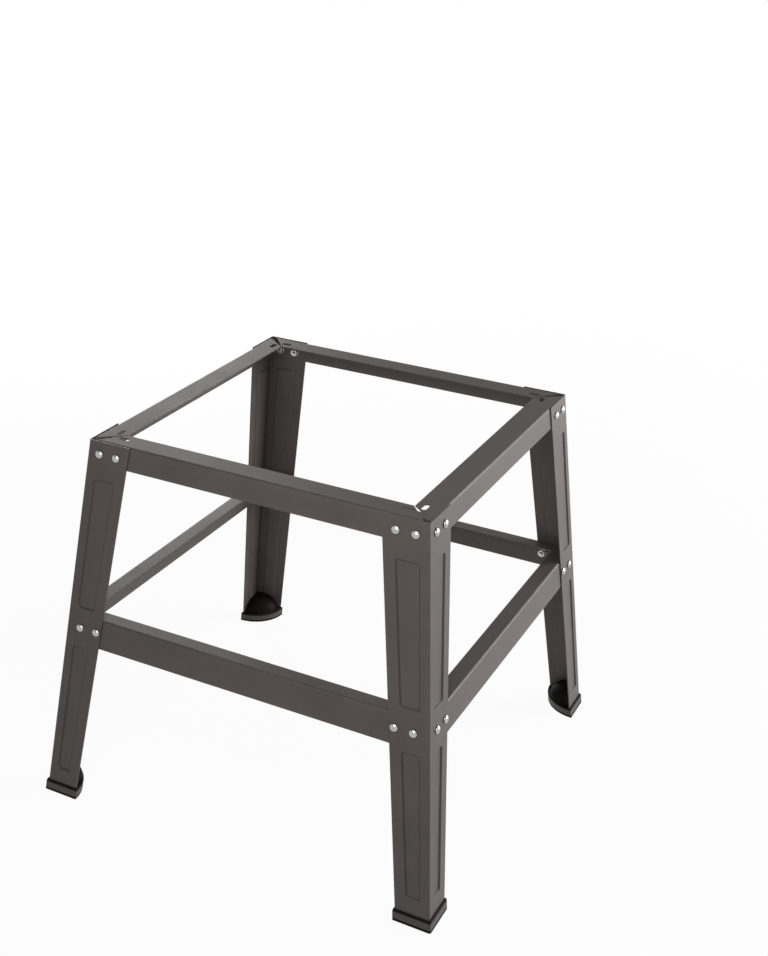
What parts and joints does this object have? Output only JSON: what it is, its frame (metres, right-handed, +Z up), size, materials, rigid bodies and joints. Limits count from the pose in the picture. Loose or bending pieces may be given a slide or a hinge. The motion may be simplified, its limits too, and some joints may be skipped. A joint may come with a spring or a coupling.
{
  "type": "table saw stand",
  "caption": "Open steel stand for a bench-top table saw: splayed, pressed L-section legs bolted to flanged top rails and lower braces, on domed rubber feet.",
  "frame": {"origin": "on the floor, in the middle between the feet", "axes": "+Z up, front facing -Y, +X to the right seen from the front"},
  "size_m": [0.582, 0.582, 0.517],
  "materials": {
    "painted_steel": "satin dark grey-brown paint with a fine mottle",
    "rubber": "matt black moulded rubber",
    "zinc_plate": "bright zinc plate"
  },
  "bodies": {
    "root": {"leg_front_right": "painted_steel", "leg_back_right": "painted_steel", "leg_back_left": "painted_steel", "leg_front_left": "painted_steel", "top_rail_front": "painted_steel", "top_rail_right": "painted_steel", "top_rail_back": "painted_steel", "top_rail_left": "painted_steel", "lower_brace_front": "painted_steel", "lower_brace_right": "painted_steel", "lower_brace_back": "painted_steel", "lower_brace_left": "painted_steel", "foot_front_right": "rubber", "foot_back_right": "rubber", "foot_back_left": "rubber", "foot_front_left": "rubber", "bolt_front_top_1": "zinc_plate", "bolt_front_top_2": "zinc_plate", "bolt_front_top_3": "zinc_plate", "bolt_front_top_4": "zinc_plate", "bolt_front_mid_1": "zinc_plate", "bolt_front_mid_2": "zinc_plate", "bolt_front_mid_3": "zinc_plate", "bolt_front_mid_4": "zinc_plate", "bolt_right_top_1": "zinc_plate", "bolt_right_top_2": "zinc_plate", "bolt_right_top_3": "zinc_plate", "bolt_right_top_4": "zinc_plate", "bolt_right_mid_1": "zinc_plate", "bolt_right_mid_2": "zinc_plate", "bolt_right_mid_3": "zinc_plate", "bolt_right_mid_4": "zinc_plate", "bolt_back_top_1": "zinc_plate", "bolt_back_top_2": "zinc_plate", "bolt_back_top_3": "zinc_plate", "bolt_back_top_4": "zinc_plate", "bolt_back_mid_1": "zinc_plate", "bolt_back_mid_2": "zinc_plate", "bolt_back_mid_3": "zinc_plate", "bolt_back_mid_4": "zinc_plate", "bolt_left_top_1": "zinc_plate", "bolt_left_top_2": "zinc_plate", "bolt_left_top_3": "zinc_plate", "bolt_left_top_4": "zinc_plate", "bolt_left_mid_1": "zinc_plate", "bolt_left_mid_2": "zinc_plate", "bolt_left_mid_3": "zinc_plate", "bolt_left_mid_4": "zinc_plate"}
  },
  "joints": []
}
